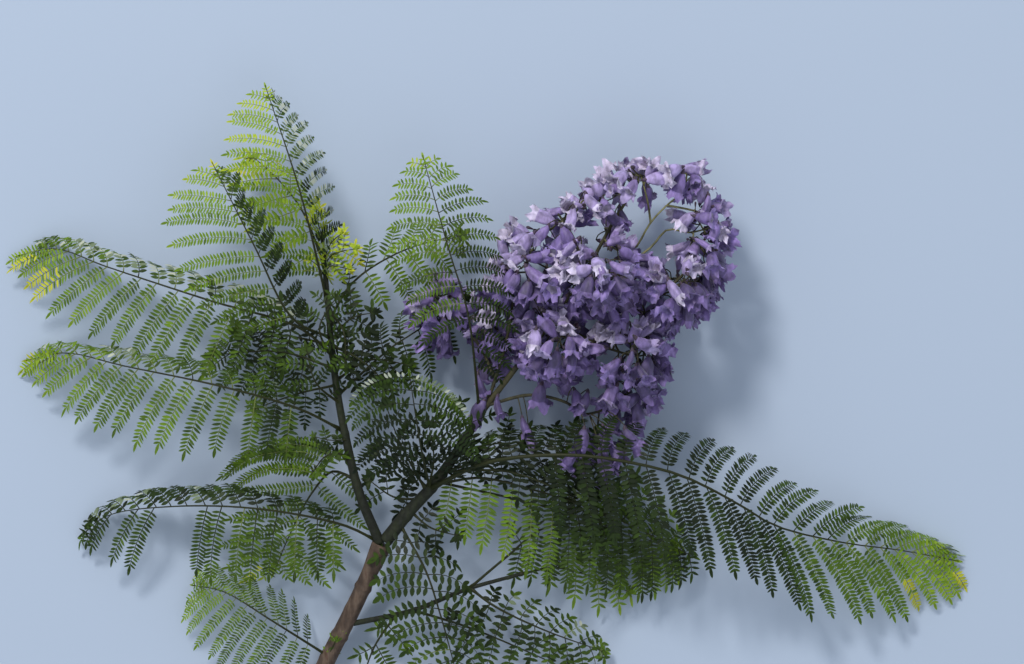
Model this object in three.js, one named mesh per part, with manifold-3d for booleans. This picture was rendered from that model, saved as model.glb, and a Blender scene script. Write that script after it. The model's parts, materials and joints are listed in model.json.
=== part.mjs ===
// A cut branch of a jacaranda: a woody stem that forks, its twice-divided leaves and one loose head of flowers.
// Lengths are in millimetres and angles in degrees. The branch lies on the plane z = 0. Places are measured from
// the middle of the spread: x across it, y from the cut end towards the tips, z up.
// Headings are angles on that plane, 0 along +x and 90 along +y.
import * as THREE from 'three';
import { mergeVertices } from 'three/addons/utils/BufferGeometryUtils.js';
import Module from 'manifold-3d';

const wasm = await Module();
wasm.setup();

// Common sizes
const SEAT_GAP = 0.35;
const BLADE_THICKNESS = 4.5;
const PETIOLE_HALF_WIDTH = 2.2;
const BLADE_STEP = 58;
const FEWEST_BLADE_STEPS = 4;
const SHORT_PETIOLE = 30;
const STEM_SIDES = 8;
const STALK_SIDES = 6;
const LIMB_STEP = 40;
const FORK_SWELL = 2.2;
const CLUSTER_SEGMENTS = { around: 10, down: 7 };
const VERTEX_MERGE = 0.001;

// Outline of a leaf: the length of its side leaflets, as a share of the longest, at its first pair and its tip
const WIDEST_AT = 0.42;
const FIRST_PAIR = 0.66;
const LAST_PAIR = 0.3;

// Woody stems: the points they run through and their radius at both ends
const STEMS = {
  main_stem: {
    path: [[-207, -373, 8.6], [-187, -332, 17], [-155, -268, 31], [-131, -214, 45]],
    radii: [8.6, 7.9],
    swell: FORK_SWELL,
    sides: 10,
  },
  left_stem: {
    path: [[-133, -212, 47], [-153, -162, 58], [-165, -113, 68], [-175, -60, 72], [-182, 0, 72], [-190, 96, 62]],
    radii: [5.2, 2.2],
    sides: STEM_SIDES,
  },
  right_stem: {
    path: [[-127, -210, 48], [-104, -181, 55], [-80, -155, 62], [-57, -123, 70], [-29, -78, 80]],
    radii: [7, 4],
    sides: STEM_SIDES,
  },
  side_stem: {
    path: [[-160, -294, 26], [-101, -281, 31], [-45, -259, 36], [8, -244, 38]],
    radii: [2.9, 1.8],
    sides: STALK_SIDES,
  },
};

// Stalks of the flower head
const STALKS = {
  flower_stalk: {
    path: [[-31, -81, 79], [19, -16, 96], [63, 42, 106], [100, 108, 110], [126, 150, 108]],
    radii: [3.2, 1.3],
  },
  stalk_left: { path: [[-27, -75, 80], [-21, -60, 81], [-6, -10, 84], [4, 50, 84]], radii: [1.9, 1.2] },
  stalk_far_left: { path: [[-18, -45, 81], [-34, -12, 68], [-70, 22, 56]], radii: [1.7, 1.1] },
  stalk_low: { path: [[-24, -73, 82], [18, -63, 86], [53, -70, 82], [72, -82, 74], [108, -72, 64]], radii: [1.8, 1.2] },
  stalk_low_right: { path: [[42, 14, 102], [80, -10, 94], [120, -24, 84]], radii: [1.8, 1.1] },
  stalk_right: { path: [[60, 38, 106], [112, 32, 102], [163, 50, 96], [197, 100, 94]], radii: [2, 1.2] },
  stalk_upper_left: { path: [[72, 58, 107], [62, 92, 106], [46, 118, 100]], radii: [1.8, 1.1] },
};

// Leaves: the line of the midrib, its bare share at the foot, and on each side the length of the longest side
// leaflets, the headings of the first and the last of them, and how steeply they hang. A leaf that arches over a
// wide gap is two blades, which meet at its split, a share of its leafy part.
const LEAVES = {
  frond_top: {
    path: [[-186, 34, 71], [-211, 140, 112], [-247, 247, 78]],
    bare: 0.12,
    left: { reach: 66, headings: [174, 150], hang: 20 },
    right: { reach: 58, headings: [28, 58], hang: 58 },
  },
  frond_upper_left: {
    path: [[-182, -6, 72], [-219, 14, 104], [-256, 86, 124], [-300, 170, 84]],
    bare: 0.22,
    left: { reach: 74, headings: [190, 150], hang: 18 },
    right: { reach: 60, headings: [60, 88], hang: 58 },
  },
  frond_over_flowers: {
    path: [[-33, -76, 82], [-44, 20, 146], [-62, 80, 152], [-91, 167, 112]],
    bare: 0.25,
    left: { reach: 70, headings: [208, 158], hang: 20 },
    right: { reach: 58, headings: [-25, 55], hang: 28 },
  },
  frond_right_long: {
    path: [[-84, -158, 62], [-25, -130, 104], [60, -122, 128], [130, -131, 128], [215, -160, 112], [262, -190, 92],
      [388, -219, 44], [432, -227, 14]],
    bare: 0.1,
    split: 0.42,
    left: { reach: 84, headings: [75, 35], hang: 58 },
    right: { reach: 108, headings: [-80, -50], hang: 18 },
  },
  frond_centre: {
    path: [[-83, -155, 64], [-92, -104, 142], [-100, -42, 182]],
    bare: 0.3,
    left: { reach: 84, headings: [192, 203], hang: 28 },
    right: { reach: 78, headings: [-12, -29], hang: 28 },
    last: 0.85,
  },
  frond_upper_wide: {
    path: [[-181, -22, 72], [-212, 4, 88], [-300, 31, 98], [-405, 65, 66], [-468, 92, 16]],
    bare: 0.14,
    left: { reach: 86, headings: [262, 200], hang: 18 },
    right: { reach: 52, headings: [110, 150], hang: 55 },
    last: 0.42,
  },
  frond_middle_left: {
    path: [[-171, -98, 69], [-212, -77, 88], [-286, -55, 106], [-389, -34, 66], [-474, -20, 14]],
    bare: 0.15,
    left: { reach: 82, headings: [256, 215], hang: 20 },
    right: { reach: 56, headings: [125, 158], hang: 52 },
    last: 0.42,
  },
  frond_lower_left: {
    path: [[-136, -210, 46], [-168, -194, 64], [-250, -177, 86], [-340, -175, 62], [-430, -192, 12]],
    bare: 0.15,
    left: { reach: 80, headings: [264, 222], hang: 20 },
    right: { reach: 40, headings: [125, 165], hang: 48 },
  },
  frond_middle_short: {
    path: [[-179, -14, 74], [-151, -28, 98], [-120, -56, 92]],
    bare: 0.28,
    left: { reach: 42, headings: [72, 30], hang: 30 },
    right: { reach: 34, headings: [-118, -85], hang: 28 },
  },
  frond_top_back: {
    path: [[-187, 62, 68], [-209, 119, 64], [-232, 150, 54], [-267, 182, 36]],
    bare: 0.14,
    left: { reach: 58, headings: [205, 172], hang: 12 },
    right: { reach: 36, headings: [85, 112], hang: 40 },
  },
  frond_inner_left: {
    path: [[-179, -36, 69], [-232, -20, 60], [-310, -24, 30]],
    bare: 0.2,
    left: { reach: 58, headings: [250, 205], hang: 18 },
    right: { reach: 40, headings: [115, 150], hang: 40 },
  },
  frond_inner_low: {
    path: [[-159, -147, 58], [-180, -140, 56], [-200, -160, 44], [-222, -200, 34], [-242, -246, 18]],
    bare: 0.2,
    left: { reach: 76, headings: [-48, -62], hang: 10 },
    right: { reach: 92, headings: [168, 225], hang: 8 },
  },
  frond_middle_up: {
    path: [[-184, 10, 70], [-160, 49, 70], [-113, 80, 60], [-46, 100, 34]],
    bare: 0.22,
    left: { reach: 46, headings: [80, 25], hang: 32 },
    right: { reach: 54, headings: [-62, -30], hang: 26 },
  },
  frond_middle: {
    path: [[-175, -64, 70], [-123, -17, 52], [-93, 3, 46], [-40, 40, 28]],
    bare: 0.25,
    left: { reach: 42, headings: [95, 50], hang: 38 },
    right: { reach: 58, headings: [-78, -50], hang: 20 },
  },
  frond_right_low: {
    path: [[-77, -153, 61], [-32, -146, 72], [7, -154, 76], [88, -180, 68], [186, -228, 26]],
    bare: 0.06,
    left: { reach: 52, headings: [65, 30], hang: 48 },
    right: { reach: 82, headings: [-92, -75], hang: 20 },
  },
  frond_low_hanging: {
    path: [[-112, -194, 52], [-86, -240, 72], [-71, -286, 66], [-54, -352, 26]],
    bare: 0.16,
    left: { reach: 52, headings: [-10, -45], hang: 18 },
    right: { reach: 60, headings: [172, 215], hang: 18 },
  },
  frond_low_right: {
    path: [[-44, -259, 36], [-4, -225, 44], [33, -197, 46], [92, -196, 38], [170, -238, 10]],
    bare: 0.28,
    left: { reach: 42, headings: [118, 50], hang: 25 },
    right: { reach: 74, headings: [-98, -70], hang: 16 },
  },
  frond_bottom_left: {
    path: [[-185, -328, 18], [-240, -291, 50], [-289, -262, 40], [-324, -256, 12]],
    bare: 0.16,
    left: { reach: 70, headings: [245, 212], hang: 18 },
    right: { reach: 52, headings: [98, 145], hang: 38 },
  },
  frond_low_middle: {
    path: [[-42, -258, 36], [-19, -275, 42], [28, -298, 44], [96, -324, 20]],
    bare: 0.16,
    left: { reach: 34, headings: [50, 10], hang: 34 },
    right: { reach: 50, headings: [-112, -78], hang: 16 },
  },
  frond_bottom: {
    path: [[-98, -281, 31], [-44, -298, 26], [14, -322, 22], [74, -350, 12]],
    bare: 0.2,
    left: { reach: 34, headings: [60, 35], hang: 8 },
    right: { reach: 50, headings: [-105, -80], hang: 8 },
  },
  frond_side_tip: {
    path: [[7, -244, 37], [48, -240, 26], [122, -264, 12]],
    bare: 0.12,
    left: { reach: 26, headings: [55, 20], hang: 6 },
    right: { reach: 36, headings: [-100, -60], hang: 6 },
  },
  frond_bottom_stem: {
    path: [[-116, -284, 30], [-138, -316, 28], [-156, -366, 12]],
    bare: 0.16,
    left: { reach: 50, headings: [-58, -80], hang: 8 },
    right: { reach: 28, headings: [200, 240], hang: 8 },
  },
};

// Flower masses: middle and half sizes of each uneven cluster
const CLUSTERS = {
  flowers_middle: { at: [88, 60, 104], size: [50, 46, 104] },
  flowers_left: { at: [13, 58, 76], size: [40, 47, 80] },
  flowers_upper_left: { at: [44, 105, 92], size: [44, 33, 62] },
  flowers_top: { at: [123, 152, 104], size: [39, 27, 50] },
  flowers_right: { at: [163, 46, 80], size: [42, 43, 84] },
  flowers_upper_right: { at: [198, 108, 90], size: [28, 54, 50] },
  flowers_lower_left: { at: [42, -14, 80], size: [42, 42, 84] },
  flowers_lower_right: { at: [120, -20, 80], size: [40, 44, 82] },
  flowers_low: { at: [116, -68, 58], size: [33, 32, 44] },
  flowers_hanging: { at: [86, -128, 38], size: [25, 34, 24] },
  flowers_inner_left: { at: [-22, -4, 54], size: [24, 52, 46] },
  flowers_far_left: { at: [-72, 22, 46], size: [32, 46, 42] },
};

const MATERIALS = {
  bark: new THREE.MeshStandardMaterial({ color: 0x75635a, roughness: 0.85, metalness: 0 }),
  green_stem: new THREE.MeshStandardMaterial({ color: 0x4a5236, roughness: 0.7, metalness: 0 }),
  leaf: new THREE.MeshStandardMaterial({ color: 0x557a28, roughness: 0.6, metalness: 0 }),
  flower: new THREE.MeshStandardMaterial({ color: 0x8f7fc4, roughness: 0.65, metalness: 0 }),
};

const { degToRad, lerp, smoothstep } = THREE.MathUtils;

// Surfaces

function curveThrough(points) {
  return new THREE.CatmullRomCurve3(points.map((point) => new THREE.Vector3(...point)), false, 'centripetal');
}

function signedVolume(positions, index) {
  const corners = [new THREE.Vector3(), new THREE.Vector3(), new THREE.Vector3()];
  let volume = 0;
  for (let i = 0; i < index.length; i += 3) {
    corners.forEach((corner, k) => corner.fromArray(positions, 3 * index[i + k]));
    volume += corners[0].dot(corners[1].cross(corners[2])) / 6;
  }
  return volume;
}

// A closed skin over a row of rings that all have the same even number of points
function loft(rings) {
  const count = rings[0].length;
  const positions = rings.flat().flatMap((point) => point.toArray());
  const index = [];
  const quad = (a, b, c, d) => index.push(a, b, c, a, c, d);
  for (let ring = 0; ring + 1 < rings.length; ring += 1) {
    for (let i = 0; i < count; i += 1) {
      const next = (i + 1) % count;
      quad(ring * count + i, ring * count + next, (ring + 1) * count + next, (ring + 1) * count + i);
    }
  }
  const last = (rings.length - 1) * count;
  for (let i = 0; i + 1 < count / 2; i += 1) {
    quad(count - 1 - i, count - 2 - i, i + 1, i);
    quad(last + i, last + i + 1, last + count - 2 - i, last + count - 1 - i);
  }
  if (signedVolume(positions, index) < 0) index.reverse();
  const geometry = new THREE.BufferGeometry();
  geometry.setAttribute('position', new THREE.Float32BufferAttribute(positions, 3));
  geometry.setIndex(index);
  return geometry;
}

// Points of a curve at some shares, with the first and the last moved out by the clearance
function ridgePoints(curve, shares, grow) {
  const points = shares.map((share) => curve.getPointAt(share));
  points[0].addScaledVector(curve.getTangentAt(shares[0]), -grow);
  points.at(-1).addScaledVector(curve.getTangentAt(shares.at(-1)), grow);
  return points;
}

function evenShares(first, last, steps) {
  return Array.from({ length: steps + 1 }, (_, step) => lerp(first, last, step / steps));
}

function limbGeometry({ path, radii, swell = 0, sides = STALK_SIDES }, grow = 0) {
  const curve = curveThrough(path);
  const steps = Math.max(3, Math.round(curve.getLength() / LIMB_STEP));
  const frames = curve.computeFrenetFrames(steps);
  const shares = evenShares(0, 1, steps);
  const rings = ridgePoints(curve, shares, grow).map((centre, step) => {
    const radius = lerp(radii[0], radii[1], shares[step]) + swell * smoothstep(shares[step], 0.8, 1) + grow;
    return Array.from({ length: sides }, (_, side) => {
      const angle = (2 * Math.PI * side) / sides;
      return centre.clone()
        .addScaledVector(frames.normals[step], radius * Math.cos(angle))
        .addScaledVector(frames.binormals[step], radius * Math.sin(angle));
    });
  });
  return loft(rings);
}

// The share of the full leaflet length at a share of the way along the leafy part
function outlineAt(share, last = LAST_PAIR) {
  if (share < WIDEST_AT) return lerp(1, FIRST_PAIR, (1 - share / WIDEST_AT) ** 2);
  return lerp(1, last, ((share - WIDEST_AT) / (1 - WIDEST_AT)) ** 2);
}

// One side of a leaf at one station: two points out along the hanging leaflets, and that side's upward normal
function wingAt(ridge, along, side, share, last, grow) {
  const heading = degToRad(lerp(...side.headings, share));
  const length = side.reach * outlineAt(share, last) + grow;
  const level = length * Math.cos(degToRad(side.hang));
  const drop = length * Math.sin(degToRad(side.hang));
  const pointAt = (part) => {
    const point = ridge.clone();
    point.x += Math.cos(heading) * level * part;
    point.y += Math.sin(heading) * level * part;
    point.z = Math.max(point.z - drop * part ** 1.5, BLADE_THICKNESS / 2);
    return point;
  };
  const points = [pointAt(0.5), pointAt(1)];
  const normal = new THREE.Vector3().crossVectors(along, points[1].clone().sub(ridge)).normalize();
  if (normal.z < 0) normal.negate();
  return { points, normal };
}

function petioleWing(ridge, along, sign, grow) {
  const out = new THREE.Vector3(-along.y, along.x, 0).normalize().multiplyScalar(sign * (PETIOLE_HALF_WIDTH + grow));
  const points = [ridge.clone().addScaledVector(out, 0.5), ridge.clone().add(out)];
  const normal = new THREE.Vector3().crossVectors(along, out).normalize();
  if (normal.z < 0) normal.negate();
  return { points, normal };
}

function bladeSection(ridge, left, right, grow) {
  const half = BLADE_THICKNESS / 2 + grow;
  const crest = left.normal.clone().add(right.normal).normalize();
  const middles = [left.points[1], left.points[0], ridge, right.points[0], right.points[1]];
  const normals = [left.normal, left.normal, crest, right.normal, right.normal];
  const top = middles.map((point, i) => point.clone().addScaledVector(normals[i], half));
  const bottom = middles.map((point, i) => point.clone().addScaledVector(normals[i], -half));
  return [...top, ...bottom.reverse()];
}

// The blade of a leaf from one share of its leafy part to another, with its petiole where it starts at the foot
function bladeGeometry({ path, bare, left, right, last, from, to }, grow = 0) {
  const curve = curveThrough(path);
  const length = curve.getLength();
  const steps = Math.max(FEWEST_BLADE_STEPS, Math.round(((to - from) * length) / BLADE_STEP));
  const petiole = length * bare < SHORT_PETIOLE ? [0, 0.97] : [0, 0.5, 0.97];
  const bareShares = from === 0 ? petiole.map((part) => bare * part) : [];
  const leafyShares = evenShares(from, to, steps);
  const shares = [...bareShares, ...leafyShares.map((share) => lerp(bare, 1, share))];
  const rings = ridgePoints(curve, shares, grow).map((ridge, i) => {
    const along = curve.getTangentAt(shares[i]);
    if (i < bareShares.length) {
      return bladeSection(ridge, petioleWing(ridge, along, 1, grow), petioleWing(ridge, along, -1, grow), grow);
    }
    const share = leafyShares[i - bareShares.length];
    const wings = [left, right].map((side) => wingAt(ridge, along, side, share, last, grow));
    return bladeSection(ridge, ...wings, grow);
  });
  return loft(rings);
}

// An uneven rounded mass: a sphere pushed in and out by a few slow waves, stretched to its half sizes
function clusterGeometry({ at, size }, grow = 0) {
  const geometry = new THREE.SphereGeometry(1, CLUSTER_SEGMENTS.around, CLUSTER_SEGMENTS.down);
  geometry.deleteAttribute('normal');
  geometry.deleteAttribute('uv');
  const phase = at[0] + 2 * at[1];
  const position = geometry.attributes.position;
  const point = new THREE.Vector3();
  for (let i = 0; i < position.count; i += 1) {
    point.fromBufferAttribute(position, i);
    const bump = 0.07 * Math.sin(3.3 * point.x + phase) + 0.07 * Math.sin(3.9 * point.y - phase)
      + 0.05 * Math.cos(5.1 * point.z + 2 * phase);
    point.multiplyScalar(1.03 + bump);
    position.setXYZ(i, ...point.toArray().map((value, axis) => at[axis] + value * (size[axis] + grow)));
  }
  return geometry;
}

// Cuts

function solidOf(geometry) {
  const merged = mergeVertices(geometry, VERTEX_MERGE);
  return new wasm.Manifold(new wasm.Mesh({
    numProp: 3,
    vertProperties: new Float32Array(merged.attributes.position.array),
    triVerts: new Uint32Array(merged.index.array),
  }));
}

function geometryOf(solid) {
  const mesh = solid.getMesh();
  const geometry = new THREE.BufferGeometry();
  geometry.setAttribute('position', new THREE.Float32BufferAttribute(mesh.vertProperties, 3));
  geometry.setIndex(new THREE.Uint32BufferAttribute(mesh.triVerts, 1));
  geometry.computeVertexNormals();
  return geometry;
}

function boxesMeet(a, b) {
  return [0, 1, 2].every((axis) => a.min[axis] < b.max[axis] && b.min[axis] < a.max[axis]);
}

function largestPart(solid) {
  return solid.decompose().reduce((best, part) => (part.volume() > best.volume() ? part : best));
}

const branch = new THREE.Group();
const cutters = [];

// Adds one piece, cut clear of the ground and of every piece that is already there
function place(name, material, shape, sizes) {
  let solid = solidOf(shape(sizes)).trimByPlane([0, 0, 1], 0);
  cutters.filter((cutter) => boxesMeet(cutter.box, solid.boundingBox())).forEach((cutter) => {
    solid = solid.subtract(cutter.solid);
  });
  const kept = largestPart(solid);
  const mesh = new THREE.Mesh(geometryOf(kept), material);
  mesh.name = name;
  branch.add(mesh);
  const cutter = solidOf(shape(sizes, SEAT_GAP)).add(kept);
  cutters.push({ solid: cutter, box: cutter.boundingBox() });
}

Object.entries(STEMS).forEach(([name, stem]) => {
  place(name, name === 'main_stem' ? MATERIALS.bark : MATERIALS.green_stem, limbGeometry, stem);
});
Object.entries(STALKS).forEach(([name, stalk]) => place(name, MATERIALS.green_stem, limbGeometry, stalk));
Object.entries(LEAVES).forEach(([name, { split = 1, ...leaf }]) => {
  place(name, MATERIALS.leaf, bladeGeometry, { ...leaf, from: 0, to: split });
  if (split < 1) place(`${name}_tip`, MATERIALS.leaf, bladeGeometry, { ...leaf, from: split, to: 1 });
});
Object.entries(CLUSTERS).forEach(([name, cluster]) => place(name, MATERIALS.flower, clusterGeometry, cluster));

// The origin is under the middle of the whole branch, on the plane it lies on
const extent = new THREE.Box3().setFromObject(branch);
const middle = extent.getCenter(new THREE.Vector3());
branch.position.set(-middle.x, -middle.y, -extent.min.z);
branch.updateMatrixWorld(true);

export default branch;
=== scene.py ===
"""Looks of a cut jacaranda branch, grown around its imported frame.

Lengths are in millimetres and angles in degrees, apart from the meshes and the studio, which are in metres.
Places are measured from the middle of the spread: x across it, y from the cut end towards the tips, z up from
the plane it lies on. Headings are angles on that plane, 0 along +x and 90 along +y.
"""

import json
import math

import bpy
import numpy as np
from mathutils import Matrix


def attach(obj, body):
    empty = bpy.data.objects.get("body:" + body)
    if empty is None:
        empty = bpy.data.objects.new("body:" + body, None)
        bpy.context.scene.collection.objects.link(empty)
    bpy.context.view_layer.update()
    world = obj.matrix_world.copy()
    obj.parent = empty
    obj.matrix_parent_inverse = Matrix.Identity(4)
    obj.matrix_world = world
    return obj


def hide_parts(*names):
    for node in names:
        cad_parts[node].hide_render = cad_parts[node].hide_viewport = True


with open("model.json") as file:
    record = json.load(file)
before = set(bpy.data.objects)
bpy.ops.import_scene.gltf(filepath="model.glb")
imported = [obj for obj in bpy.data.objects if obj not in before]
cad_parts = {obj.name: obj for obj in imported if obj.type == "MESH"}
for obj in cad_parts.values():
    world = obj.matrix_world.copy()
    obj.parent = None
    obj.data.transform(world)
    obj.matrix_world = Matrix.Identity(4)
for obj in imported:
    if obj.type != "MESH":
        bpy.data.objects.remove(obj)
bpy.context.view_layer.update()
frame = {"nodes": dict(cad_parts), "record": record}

MM = 0.001
SEED = 23
UP = np.array([0.0, 0.0, 1.0])

# The middle of the cut end in these tables. Its mount gives the same point in the frame.
CUT_END = np.array([-207, -373, 8.6])
CUT_MOUNT = next(mount for mount in frame["record"]["mounts"] if mount["name"] == "cut_end")
SHIFT = np.array(CUT_MOUNT["pos_m"]) / MM - CUT_END

# Colours, as red, green and blue from 0 to 255

# The leaf tones run from painted shade to painted light. The dark end stands for leaflets in shade, bright
# and lime for leaflets the sun shines through, and grey and pale are painted sheen where leaflets catch the
# light.
LEAF_TONES = {
    "shade": (22, 33, 11),
    "deep": (35, 51, 14),
    "dark": (52, 73, 18),
    "mid": (75, 101, 21),
    "fresh": (101, 131, 27),
    "bright": (127, 154, 34),
    "lime": (158, 176, 42),
    "yellow": (182, 184, 46),
    "grey": (112, 126, 98),
    "pale": (178, 184, 166),
}
TONE_NAMES = list(LEAF_TONES)
LIME, YELLOW, GREY, PALE = (TONE_NAMES.index(name) for name in ("lime", "yellow", "grey", "pale"))

# Flower tones are lit and shaded copies of the flowers' lavender, picked by how each flower faces the light:
# painted light and shade. lobe_white is a painted highlight. The throats are paler than the bells, and
# throat_pale on lit flowers is painted light.
BELL_TONES = {
    "bell_deep": (84, 71, 114),
    "bell_violet": (106, 89, 142),
    "bell_lavender": (129, 110, 163),
    "bell_lilac": (157, 141, 188),
}
LOBE_TONES = {
    "lobe_violet": (112, 95, 148),
    "lobe_lavender": (138, 119, 178),
    "lobe_lilac": (156, 142, 186),
    "lobe_white": (192, 182, 209),
}
THROAT_TONES = {"throat_lilac": (158, 144, 192), "throat_pale": (206, 196, 218)}
SMALL_TONES = {"cup_dark": (62, 46, 66), "bud_dark": (54, 36, 54)}

# Woody skins: four mottled tones, the ridges in a metre, and their depth
BARKS = {
    "bark_grey": (((48, 36, 30), (72, 57, 47), (96, 80, 68), (72, 44, 34)), 320, 0.9),
    "cut_wood": (((196, 176, 128), (210, 192, 146), (222, 206, 162), (186, 164, 112)), 600, 0.3),
    "cut_pith": (((128, 104, 66), (146, 120, 78), (160, 134, 90), (120, 96, 60)), 900, 0.3),
    "bark_green": (((10, 14, 5), (17, 22, 8), (28, 35, 13), (28, 24, 12)), 420, 0.5),
    "stalk_dark": (((34, 33, 21), (50, 48, 30), (70, 67, 42), (48, 37, 30)), 500, 0.3),
    "stalk_olive": (((62, 60, 38), (92, 90, 58), (128, 126, 84), (70, 54, 48)), 500, 0.3),
}
BARK_STOPS = (0.3, 0.45, 0.6, 0.75)

# Stems and stalks

def stem(path, radii, **more):
    """A stem: the points it runs through, and its radius at both ends.

    Also swell, how much its tip widens; rings, the places where a leaf left a ring; scars, the places and
    turns of old leaf scars.
    """
    return {"path": path, "radii": radii, **more}


STEMS = {
    "main_stem": stem(
        [[-207, -373, 8.6], [-187, -332, 17], [-155, -268, 31], [-131, -214, 45]], (8.6, 7.9),
        swell=2.2, rings=(0.12, 0.42, 0.73),
        scars=((0.42, 1.1), (0.73, 5.4), (0.28, 3.4), (0.58, 2.6), (0.88, 0.3))),
    "left_stem": stem(
        [[-133, -212, 47], [-153, -162, 58], [-165, -113, 68], [-175, -60, 72], [-182, 0, 72],
         [-190, 96, 62]], (5.2, 2.2), rings=(0.2, 0.37, 0.5, 0.62, 0.7, 0.8, 0.9)),
    "right_stem": stem(
        [[-127, -210, 48], [-104, -181, 55], [-80, -155, 62], [-57, -123, 70], [-29, -78, 80]], (7, 4),
        rings=(0.2, 0.43, 0.5, 0.93)),
    "side_stem": stem(
        [[-160, -294, 26], [-101, -281, 31], [-45, -259, 36], [8, -244, 38]], (2.9, 1.8),
        rings=(0.26, 0.36, 0.69, 0.96)),
}
STALKS = {
    "flower_stalk": stem(
        [[-31, -81, 79], [19, -16, 96], [63, 42, 106], [100, 108, 110], [126, 150, 108]], (3.2, 1.3)),
    "stalk_left": stem([[-27, -75, 80], [-21, -60, 81], [-6, -10, 84], [4, 50, 84]], (1.9, 1.2)),
    "stalk_far_left": stem([[-18, -45, 81], [-34, -12, 68], [-70, 22, 56]], (1.7, 1.1)),
    "stalk_low": stem(
        [[-24, -73, 82], [18, -63, 86], [53, -70, 82], [72, -82, 74], [108, -72, 64]], (1.8, 1.2)),
    "stalk_low_right": stem([[42, 14, 102], [80, -10, 94], [120, -24, 84]], (1.8, 1.1)),
    "stalk_right": stem([[60, 38, 106], [112, 32, 102], [163, 50, 96], [197, 100, 94]], (2, 1.2)),
    "stalk_upper_left": stem([[72, 58, 107], [62, 92, 106], [46, 118, 100]], (1.8, 1.1)),
}

# Finer stalks that cross the open gap of the flower head
GAP_STALKS = [
    [[98, 92, 110], [118, 80, 108], [138, 109, 110], [154, 126, 110], [172, 140, 106]],
    [[138, 109, 110], [135, 129, 112], [130, 150, 108]],
    [[154, 126, 110], [176, 122, 108], [200, 116, 104]],
    [[112, 66, 108], [138, 84, 108], [155, 102, 108], [176, 99, 106], [198, 104, 102]],
]

# Leaves

def wing(reach, headings, hang, tones, **more):
    """One side of a leaf: the length of its longest side ribs, the headings of the first and the last, how
    steeply they hang, and their tones from foot to tip, as numbers in LEAF_TONES. These tones are painted
    shade and painted light.

    Also arc, how far they bend; broad, a factor of the width of their leaflets; first, the share of the way
    below which none grows; missing, the numbers of those left out; yellow and pale, how common such leaflets
    are, the pale ones being painted sheen; crest, how many at the tip have upper leaflets with painted sheen,
    grey and pale. hang and arc can run from one value to another.
    """
    return {"reach": reach, "headings": headings, "hang": hang, "tones": tones, **more}


def frond(path, bare, left, right, **more):
    """A leaf: the line of its midrib, the bare share at its foot, and its two sides.

    Also spacing, between side ribs; leaflet, its length and width; taper, the size of the last leaflets;
    thick, the midrib's radius; widest, where the side ribs are longest; last, the share of that length at
    the tip; end, where the side ribs end.
    """
    return {"path": path, "bare": bare, "left": left, "right": right, **more}
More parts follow.
